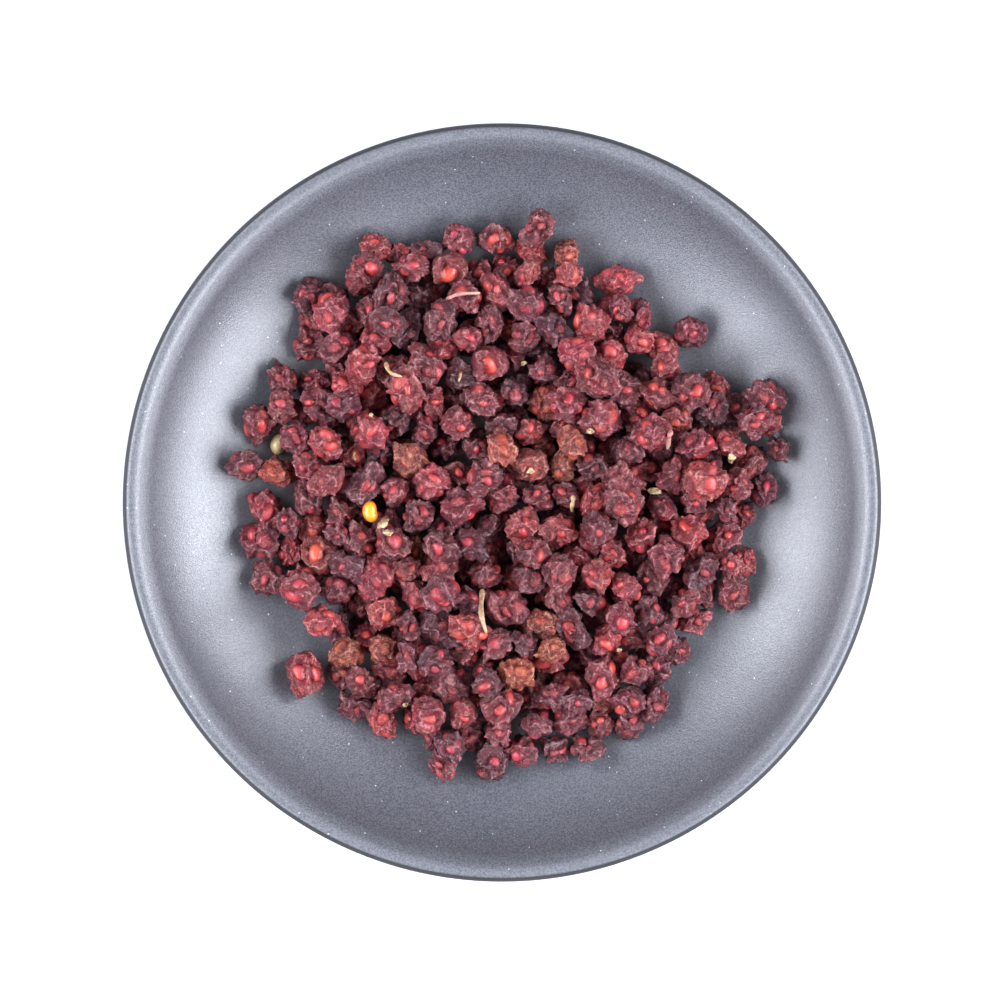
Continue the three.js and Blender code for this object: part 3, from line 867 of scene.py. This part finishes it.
def skin_material():
    """Dried fruit skin: dark wine red with many fine pale folds, painted nearly black in its hollows and
    creases as painted shade, and a glossy bright red where a seed stands under it, painted lighter in its
    middle and deeper towards its edge as painted light and shade. Warm berries turn orange-brown."""
    material, nodes, place = new_material("dried berry skin")
    mask = {key: nodes.attribute(key) for key in SKIN_MASKS}
    fold = nodes.add("ShaderNodeAttribute", attribute_name="fold").outputs["Vector"]
    patches = nodes.noise(place, 420.0, detail=4.0, roughness=0.6)
    fine = nodes.noise(place, 1600.0, detail=3.0, roughness=0.65, distortion=0.3)
    lines = nodes.math("MAXIMUM", thin_lines(nodes, fold, 0.6, 0.035), thin_lines(nodes, fold, 1.2, 0.05))
    creases = thin_lines(nodes, fold, 0.75, 0.09, 1.0)

    tone = nodes.math("ADD", mask["tint"], nodes.spread(patches, 0.3, 0.7, -0.28, 0.28))
    tone = nodes.math("ADD", tone, nodes.spread(fine, 0.3, 0.7, -0.1, 0.1))
    plum = nodes.ramp(tone, [
        (0.0, (0.030, 0.020, 0.025, 1)),
        (0.35, (0.052, 0.025, 0.031, 1)),
        (0.7, (0.092, 0.035, 0.043, 1)),
        (1.0, (0.220, 0.050, 0.062, 1)),
    ])
    crimson = nodes.ramp(tone, [
        (0.0, (0.034, 0.007, 0.012, 1)),
        (0.35, (0.070, 0.007, 0.015, 1)),
        (0.7, (0.140, 0.009, 0.019, 1)),
        (1.0, (0.330, 0.019, 0.033, 1)),
    ])
    skin = nodes.mix(nodes.spread(nodes.noise(place, 280.0, detail=3.0), 0.44, 0.56), plum, crimson)
    rust = nodes.ramp(tone, [(0.2, (0.11, 0.020, 0.014, 1)), (0.9, (0.40, 0.075, 0.034, 1))])
    skin = nodes.mix(mask["warm"], skin, rust)
    # Painted shade: the skin is darkened along the creases.
    skin = nodes.mix(nodes.math("MULTIPLY", creases, 0.7), skin, (0.044, 0.016, 0.022, 1))
    skin = nodes.mix(nodes.math("MULTIPLY", mask["near"], 0.6), skin, (0.27, 0.018, 0.030, 1))
    # Painted shade: the skin is darkened towards near black in its hollows and pockets.
    skin = nodes.mix(nodes.math("MULTIPLY", mask["hollow"], 0.5), skin, (0.055, 0.015, 0.022, 1))
    pale = nodes.ramp(mask["tint"], [(0.0, (0.24, 0.14, 0.16, 1)), (1.0, (0.62, 0.19, 0.20, 1))])
    pale = nodes.mix(mask["warm"], pale, (0.62, 0.30, 0.13, 1))
    edges = nodes.math("MULTIPLY", lines, 0.6)
    for key, width, most in PALE_LINES:
        line = nodes.math("MULTIPLY", line_at_zero(nodes, mask[key], width), most)
        edges = nodes.math("MAXIMUM", edges, line)
    strength = nodes.spread(nodes.noise(place, 900.0, detail=1.0), 0.38, 0.62, 0.1, 1.0)
    edges = nodes.math("MAXIMUM", nodes.math("MULTIPLY", edges, strength), mask["crest"])
    skin = nodes.mix(edges, skin, pale)

    # Painted light and shade: a seed's colour goes from a dark red at its edge to a bright red in its middle, as
    # if lit from above.
    rim = nodes.mix(mask["glow"], (0.15, 0.008, 0.014, 1), (0.21, 0.012, 0.011, 1))
    middle = nodes.mix(mask["glow"], (0.50, 0.038, 0.080, 1), (0.62, 0.083, 0.062, 1))
    middle = nodes.mix(mask["warm"], middle, (0.66, 0.16, 0.035, 1))
    veins = nodes.math("MULTIPLY", thin_lines(nodes, fold, 1.3, 0.05), 0.35)
    bright = nodes.mix(nodes.math("SUBTRACT", mask["dome_light"], veins), rim, middle)
    color = nodes.mix(mask["seed"], skin, bright)

    rough = nodes.spread(fine, 0.3, 0.7, 0.38, 0.62)
    rough = nodes.blend(mask["seed"], rough, 0.30)
    relief = nodes.math("ADD", nodes.math("MULTIPLY", lines, 0.6), nodes.math("MULTIPLY", fine, 0.6))
    relief = nodes.math("SUBTRACT", relief, nodes.math("MULTIPLY", creases, 0.6))
    grain = nodes.math("MULTIPLY", relief, nodes.spread(mask["seed"], 0.0, 1.0, 1.0, 0.12))
    relief_normal = nodes.bump(grain, 0.9, 0.25)
    wet = nodes.math("MAXIMUM", nodes.math("MULTIPLY", mask["seed"], 0.6), nodes.math("MULTIPLY", edges, 0.3))
    finish_material(nodes, {
        "Base Color": color,
        "Roughness": rough,
        "Specular IOR Level": 0.22,
        "Coat Weight": wet,
        "Coat Roughness": 0.16,
        "Coat Normal": relief_normal,
        "Normal": relief_normal,
    })
    return material


berry_material = skin_material()
grids = [(most, ball_grid(steps, DENSER_ON_TOP)) for most, steps in GRIDS]
cover = [covered(berry) for berry in heap]
in_sight = [i for i, berry in enumerate(heap) if berry.sticky and cover[i] < GRIDS[0][0]]


def nearest_in_sight(px, py):
    return min(in_sight, key=lambda i: math.hypot(heap[i].x - across(px), heap[i].y - up(py)))


own_looks = {nearest_in_sight(px, py): name for px, py, name in OWN_LOOKS}


def look_of(index):
    """Which look a berry has: a few have their own by where they lie, and the rest a seeded draw by the
    shares."""
    if index in own_looks:
        return own_looks[index]
    names = list(LOOKS)
    shares = [LOOKS[name]["share"] for name in names]
    return names[np.random.default_rng([5, index]).choice(len(names), p=shares)]


def joined(parts):
    """Several (points, quads, masks) as one, with the later ones' quads counted on."""
    points = np.concatenate([p for p, _, _ in parts])
    starts = np.cumsum([0] + [len(p) for p, _, _ in parts])
    quads = np.concatenate([q + start for (_, q, _), start in zip(parts, starts)])
    masks = {key: np.concatenate([m[key] for _, _, m in parts]) for key in parts[0][2]}
    return points, quads, masks


def skins_of(members):
    """The skins of several berries, each a closed ball grid of its own."""
    parts = []
    for index in members:
        directions, quads = next(grid for most, grid in grids if cover[index] < most)
        rng = np.random.default_rng([19, index])
        points, masks = berry_skin(heap[index], look_of(index), cover[index], directions, rng)
        parts.append((points, quads, masks))
    return joined(parts)


def add_berries(name, members, node):
    points, quads, masks = skins_of(members)
    piece = add_piece(name, points, [quads], berry_material, masks)
    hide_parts(node)
    return points


clumps = list(dict.fromkeys(berry.clump for berry in heap if berry.sticky))
skin_points = []
for number, clump in enumerate(clumps, start=1):
    members = [i for i, berry in enumerate(heap) if berry.clump == clump]
    skin_points.append(add_berries(f"berries_{number:02d}", members, f"berry_clump_{number:02d}"))
stray = [i for i, berry in enumerate(heap) if berry.kind == "stray"]
skin_points.append(add_berries("lone_berry", stray, "stray_berry"))

# Two seeds lie loose: a ripe orange-yellow one on the heap and a pale one with a dark scar on the bowl's
# floor. A seed is a small hard kidney with a glossy coat, hollow at the middle of one side where it hung
# on its cord.
SEED_WIDTH = 3.3
SEED_THICKNESS = 2.8
SEED_BEND = 0.15
SEED_HOLLOW = 0.12
SEED_STEPS = 22
SEED_SLIP = (-2.5, 0.4, 0.12)


def turned_about_z(side, along, turn):
    """Two level lengths turned by an angle: the new first and second."""
    cos, sin = math.cos(turn), math.sin(turn)
    return side * cos - along * sin, side * sin + along * cos


def seed_surface(directions, seed, turn):
    """A kidney from a ball of radius 1: squashed to its width and thickness, bent so that both ends lean
    to one side, with that side pressed in at its middle, and turned about Z."""
    x, y, height = directions.T
    hollow = np.where(x > 0, SEED_HOLLOW * x * np.exp(-6 * y ** 2), 0)
    side = (x - hollow) * SEED_WIDTH / 2 + SEED_BEND * (y ** 2 - 0.5)
    along = y * SEED_LENGTH / 2
    x, y = turned_about_z(side, along, turn)
    return np.stack([seed.x + x, seed.y + y, seed.z + height * SEED_THICKNESS / 2], axis=1)


def seed_material(name, middle, edge, scar):
    """A glossy seed coat: one colour in the middle and another round its edge, faint pits, and a scar."""
    material, nodes, place = new_material(name)
    out = nodes.attribute("out")
    mark = nodes.attribute("mark")
    cloud = nodes.noise(place, 900.0, detail=3.0, roughness=0.6)
    tone = nodes.math("ADD", out, nodes.spread(cloud, 0.3, 0.7, -0.2, 0.2))
    color = nodes.mix(nodes.spread(tone, 0.45, 1.05), middle, edge)
    ragged = nodes.math("MULTIPLY", mark, nodes.spread(cloud, 0.25, 0.5))
    finish_material(nodes, {
        "Base Color": nodes.mix(ragged, color, scar),
        "Roughness": nodes.spread(cloud, 0.3, 0.7, 0.25, 0.38),
        "Coat Weight": 0.4,
        "Coat Roughness": 0.12,
        "Normal": nodes.bump(nodes.noise(place, 3500.0, detail=1.0), 0.3, 0.05),
    })
    return material


def add_seed(name, node, seed, turn, material, mark_at):
    directions, quads = ball_grid(SEED_STEPS, 0.3)
    points = seed_surface(directions, seed, turn)
    masks = {
        "out": np.hypot(directions[:, 0], directions[:, 1]),
        "mark": np.exp(-((np.linalg.norm(directions - mark_at, axis=1) / 0.45) ** 2)),
    }
    piece = add_piece(name, points, [quads], material, masks)
    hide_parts(node)


loose = {berry.kind: berry for berry in heap if berry.kind in ("heap seed", "floor seed")}
ripe = seed_material("ripe seed coat", (0.80, 0.36, 0.022, 1), (0.62, 0.15, 0.012, 1), (0.50, 0.12, 0.02, 1))
add_seed("ripe_seed", "seed_on_heap", loose["heap seed"], 0.15, ripe, (1, 0, 0))
pale = seed_material("pale seed coat", (0.95, 0.72, 0.36, 1), (0.80, 0.56, 0.25, 1), (0.05, 0.03, 0.02, 1))
floor_seed = loose["floor seed"]
floor_seed.x += SEED_SLIP[0]
floor_seed.y += SEED_SLIP[1]
floor_seed.z = FLOOR_HEIGHT + BERRY_GAP + SEED_THICKNESS / 2 + SEED_SLIP[2]
add_seed("pale_seed", "seed_on_floor", floor_seed, -0.2, pale, (0.5, -0.3, 0.8))

# A few bits of dried stalk lie on the heap, tan or pinkish, knobbly and a little bent, with crumpled
# flakes of pale pulp between them. They rest on the skins under them. Torn scraps of skin lie on the
# floor in its gaps.
CELL = 0.5
NOWHERE = 1000
STALKS = [
    {"start": (482, 590), "end": (486, 633), "width": 6, "bend": 2.5, "pink": 0.25},
    {"start": (385, 362), "end": (402, 377), "width": 4.5, "bend": 4, "pink": 0.1},
    {"start": (446, 298), "end": (480, 292), "width": 4.5, "bend": -2, "pink": 0.9},
    {"start": (671, 431), "end": (668, 449), "width": 5, "bend": 0.5, "pink": 0.8},
    {"start": (574, 496), "end": (573, 512), "width": 5, "bend": 1, "pink": 0.0},
    {"start": (353, 452), "end": (354, 460), "width": 3, "bend": 0.5, "pink": 0.0},
    {"start": (461, 372), "end": (459, 381), "width": 3, "bend": 0.5, "pink": 0.1},
]
FLAKES = [
    {"at": (383, 524), "size": (11, 8), "turn": 40, "pink": 0.0},
    {"at": (388, 533), "size": (8, 5), "turn": -20, "pink": 0.0},
    {"at": (656, 491), "size": (12, 7), "turn": 5, "pink": 0.05},
    {"at": (531, 471), "size": (8, 5), "turn": 20, "pink": 0.1},
    {"at": (591, 431), "size": (7, 5), "turn": -30, "pink": 0.0},
    {"at": (733, 458), "size": (6, 8), "turn": 0, "pink": 0.1},
    {"at": (371, 415), "size": (4, 4), "turn": 0, "pink": 0.0},
    {"at": (620, 651), "size": (5, 4), "turn": 30, "pink": 0.2},
    {"at": (405, 706), "size": (5, 4), "turn": 60, "pink": 0.0},
    {"at": (524, 362), "size": (6, 4), "turn": 10, "pink": 0.0},
]
STALK_ROWS, STALK_SIDES = 28, 12
FLAKE_STEPS = 9
SCRAP_STEPS = 6
SCRAP_SIZE = (2.5, 6.0)
SCRAP_GAP = 5
SCRAP_SPACING = 3
SCRAP_INSET = 0.93


def heap_top(points):
    """The heap's greatest height in each small square seen from above."""
    size = int(2 * BOWL_RADIUS / CELL) + 1
    top = np.full((size, size), float(FLOOR_HEIGHT))
    i, j = ((points[:, :2] + BOWL_RADIUS) / CELL).astype(int).T
    np.maximum.at(top, (i, j), points[:, 2])
    return top


def highest_under(top, x, y, reach):
    """The greatest height of the heap within a reach of each place."""
    steps = np.arange(-math.ceil(reach / CELL), math.ceil(reach / CELL) + 1)
    i = ((x + BOWL_RADIUS) / CELL).astype(int)[:, None, None] + steps[:, None]
    j = ((y + BOWL_RADIUS) / CELL).astype(int)[:, None, None] + steps
    return top[i, j].max(axis=(1, 2))


def lying(height, along):
    """The height of a stiff stick that lies on a row of heights: the lowest line above them that never bends
    upwards, found by joining the highest points."""
    held = [0]
    for k in range(1, len(height)):
        while len(held) > 1:
            a, b = held[-2], held[-1]
            first = (height[b] - height[a]) * (along[k] - along[a])
            later = (height[k] - height[a]) * (along[b] - along[a])
            if first > later:
                break
            held.pop()
        held.append(k)
    return np.interp(along, along[held], height[held])


def tube(path, radius, sides):
    """Rings of points about a path, and a point at each end."""
    ahead = unit(np.gradient(path, axis=0))
    side = unit(np.cross(ahead, (0, 0, 1.0)))
    over = np.cross(side, ahead)
    angle = np.linspace(0, 2 * math.pi, sides, endpoint=False)
    ring = side[:, None] * np.cos(angle)[:, None] + over[:, None] * np.sin(angle)[:, None]
    points = path[:, None] + ring * radius[:, None, None]
    ends = [path[:1] - ahead[:1] * radius[0], path[-1:] + ahead[-1:] * radius[-1]]
    return np.concatenate([points.reshape(-1, 3), *ends])


def add_stalk(name, stalk, top, material):
    """A bit of stalk: a tube along a slightly curved line, knobbly, thinner towards one end."""
    rng = np.random.default_rng([31, *stalk["start"]])
    share = np.linspace(0, 1, STALK_ROWS)
    (ax, ay), (bx, by) = stalk["start"], stalk["end"]
    length = math.hypot(bx - ax, by - ay)
    bow = stalk["bend"] * np.sin(math.pi * share) + 0.4 * np.sin(7 * share + rng.uniform(0, 6))
    x = across(ax + (bx - ax) * share - (by - ay) / length * bow)
    y = up(ay + (by - ay) * share + (bx - ax) / length * bow)
    half = stalk["width"] * MM_PER_PIXEL / 2
    radius = half * (1 - 0.35 * share) * (1 + 0.16 * np.sin(11 * share + rng.uniform(0, 6)))
    radius = radius * np.sqrt(np.clip(1 - (2 * share - 1) ** 10, 0.08, 1))
    z = lying(highest_under(top, x, y, CELL), share) + 0.7 * radius
    path = np.stack([x, y, z], axis=1)
    points = tube(path, radius, STALK_SIDES)
    along = np.concatenate([np.repeat(share, STALK_SIDES), [0, 1]])
    piece = add_piece(name, points, ring_faces(STALK_ROWS, STALK_SIDES), material, {
        "pink": np.full(len(points), stalk["pink"]),
        "paleness": along ** 3,
    })


def add_flake(name, flake, top, material):
    """A crumpled flake: a ball squashed flat, folded by waves, with a ragged edge."""
    rng = np.random.default_rng([37, *flake["at"]])
    directions, quads = ball_grid(FLAKE_STEPS, 0.0)
    length, width = flake["size"]
    ragged = 1 + 0.18 * waves(directions, 4.0, rng) + 0.10 * waves(directions, 9.0, rng)
    flat = directions[:, :2] * (length * MM_PER_PIXEL / 2, width * MM_PER_PIXEL / 2) * ragged[:, None]
    x, y = turned_about_z(*flat.T, math.radians(flake["turn"]))
    x, y = across(flake["at"][0]) + x, up(flake["at"][1]) + y
    crumple = 0.22 * waves(directions * (1, 1, 0.1), 4.5, rng)
    rest = highest_under(top, x, y, CELL)
    z = 0.5 * rest + 0.5 * rest.max() + 0.28 * directions[:, 2] + crumple * 0.8
    points = np.stack([x, y, z], axis=1)
    piece = add_piece(name, points, [quads], material, {
        "pink": np.full(len(points), flake["pink"]),
        # Painted light and shade: a flake is painted paler where its crumples rise and darker where they sink.
        "paleness": np.clip(0.5 + 2 * crumple, 0, 1),
    })


def stalk_material():
    """Dry plant matter: tan or pink, streaked, paler towards a stalk's tip. A flake is painted paler on its
    raised folds and darker in its dips, a painted light and shade.
    """
    material, nodes, place = new_material("dry stalk")
    pink = nodes.attribute("pink")
    paleness = nodes.attribute("paleness")
    streaks = nodes.noise(place, 1500.0, detail=4.0, roughness=0.7)
    tan = nodes.mix(nodes.spread(streaks, 0.3, 0.7), (0.20, 0.10, 0.045, 1), (0.58, 0.40, 0.20, 1))
    rose = nodes.mix(nodes.spread(streaks, 0.3, 0.7), (0.22, 0.05, 0.055, 1), (0.60, 0.27, 0.25, 1))
    color = nodes.mix(pink, tan, rose)
    finish_material(nodes, {
        "Base Color": nodes.mix(nodes.math("MULTIPLY", paleness, 0.6), color, (0.68, 0.55, 0.34, 1)),
        "Roughness": nodes.spread(streaks, 0.3, 0.7, 0.5, 0.75),
        "Normal": nodes.bump(streaks, 0.6, 0.1),
    })
    return material


def add_scraps(name, top):
    """Torn scraps of skin that fell to the bowl's floor between the berries: squashed crumpled balls."""
    rng = np.random.default_rng(43)
    directions, quads = ball_grid(SCRAP_STEPS, 0.0)
    x, y = (np.argwhere(top < FLOOR_HEIGHT + SCRAP_GAP).T * CELL) - BOWL_RADIUS
    near = np.hypot(x, y) < FLOOR_RADIUS - SCRAP_SIZE[1] / 2
    x, y = x[near], y[near]
    open_places = np.flatnonzero(highest_under(top, x, y, CELL) < FLOOR_HEIGHT + SCRAP_GAP)
    parts, taken = [], np.full((1, 2), float(NOWHERE))
    for i in rng.permutation(open_places):
        x_i, y_i = x[i], y[i]
        if np.hypot(*(taken - (x_i, y_i)).T).min() < SCRAP_SPACING or not inside_heap(x_i, y_i, SCRAP_INSET):
            continue
        taken = np.concatenate([taken, [(x_i, y_i)]])
        size = rng.uniform(*SCRAP_SIZE, 2) / 2
        ragged = 1 + 0.25 * waves(directions, 4.0, rng)
        flat = directions[:, :2] * size * ragged[:, None]
        flat_x, flat_y = turned_about_z(*flat.T, rng.uniform(0, 2 * math.pi))
        crumple = 0.6 * waves(directions * (1, 1, 0.1), 4.0, rng)
        height = 0.25 * directions[:, 2] + crumple
        lifted = FLOOR_HEIGHT + TOUCH + height - height.min()
        points = np.stack([x_i + flat_x, y_i + flat_y, lifted], axis=1)
        masks = {key: np.zeros(len(points)) for key in SKIN_MASKS}
        masks |= {
            "ring": np.ones(len(points)),
            "border": np.ones(len(points)),
            "wave": crumple,
            "small_wave": np.ones(len(points)),
            # Painted shade: a scrap is painted darker where its crumples sink.
            "hollow": np.clip(-crumple, 0, 1),
            "tint": np.full(len(points), rng.uniform(0.1, 0.6)),
            "warm": np.full(len(points), rng.uniform(0, 0.3)),
            "fold": points + rng.uniform(-50, 50, 3),
        }
        parts.append((points, quads, masks))
    points, quads, masks = joined(parts)
    add_piece(name, points, [quads], berry_material, masks)


top = heap_top(np.concatenate(skin_points))
add_scraps("skin_scraps", top)
dry = stalk_material()
for number, stalk in enumerate(STALKS, start=1):
    add_stalk(f"stalk_{number}", stalk, top, dry)
for number, flake in enumerate(FLAKES, start=1):
    add_flake(f"flake_{number:02d}", flake, top, dry)

# The table is plain and nearly white, as the ground of a cut-out picture is. It isn't part of the object.
TABLE_SIZE = 3000
TABLE_COLOR = (0.76, 0.76, 0.77, 1)


def table_material():
    material, nodes, _ = new_material("white table")
    finish_material(nodes, {"Base Color": TABLE_COLOR, "Roughness": 0.9})
    return material


half = TABLE_SIZE / 2
table_points = np.array([(-half, -half, 0), (half, -half, 0), (half, half, 0), (-half, half, 0)], float)
table_mesh = bpy.data.meshes.new("table")
table_mesh.from_pydata((table_points * MM).tolist(), [], [(0, 1, 2, 3)])
table_mesh.materials.append(table_material())
table = bpy.data.objects.new("table", table_mesh)
bpy.context.scene.collection.objects.link(table)

# Two large soft lights stand to the left and right of the bowl, a little towards the near side, and the room
# gives a weak even light. They make the broad shine on the two side walls.
LIGHT_DISTANCE = 900
LIGHT_TILT = 53
LIGHT_SIZE = (700, 1100)
LIGHT_COLOR = (0.87, 0.91, 1.0)
LIGHTS = [("left light", 184, 19.5), ("right light", -9, 23)]
ROOM_COLOR = (0.92, 0.94, 1.0, 1)
ROOM_STRENGTH = 0.30


def add_light(name, heading, power):
    """A rectangle of light at a heading about Z in degrees, tilted from straight up, that faces the bowl."""
    light = bpy.data.lights.new(name, "AREA")
    light.shape = "RECTANGLE"
    light.size = LIGHT_SIZE[0] * MM
    light.size_y = LIGHT_SIZE[1] * MM
    light.energy = power
    light.color = LIGHT_COLOR
    lamp = bpy.data.objects.new(name, light)
    tilt, turn = math.radians(LIGHT_TILT), math.radians(heading)
    lamp.rotation_euler = (0, tilt, turn)
    side, rise = math.sin(tilt), math.cos(tilt)
    lamp.location = np.array([side * math.cos(turn), side * math.sin(turn), rise]) * LIGHT_DISTANCE * MM
    bpy.context.scene.collection.objects.link(lamp)


for name, heading, power in LIGHTS:
    add_light(name, heading, power)

world = bpy.data.worlds.new("room")
world.use_nodes = True
background = world.node_tree.nodes["Background"]
background.inputs["Color"].default_value = ROOM_COLOR
background.inputs["Strength"].default_value = ROOM_STRENGTH
bpy.context.scene.world = world
bpy.context.scene.view_settings.view_transform = "Standard"

# The camera looks straight down. The bowl fills 760 of the picture's 1000 pixels, and its centre is a little
# right of the picture's middle and below it.
PICTURE_PIXELS = 1000
RIM_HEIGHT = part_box("bowl")[1].z / MM
LENS = 150

camera_data = bpy.data.cameras.new("camera")
camera_data.lens = LENS
seen_width = PICTURE_PIXELS * MM_PER_PIXEL
camera_distance = seen_width * LENS / camera_data.sensor_width
camera = bpy.data.objects.new("camera", camera_data)
middle = PICTURE_PIXELS / 2
camera.location = np.array([across(middle), up(middle), RIM_HEIGHT + camera_distance]) * MM
bpy.context.scene.collection.objects.link(camera)
bpy.context.scene.camera = camera
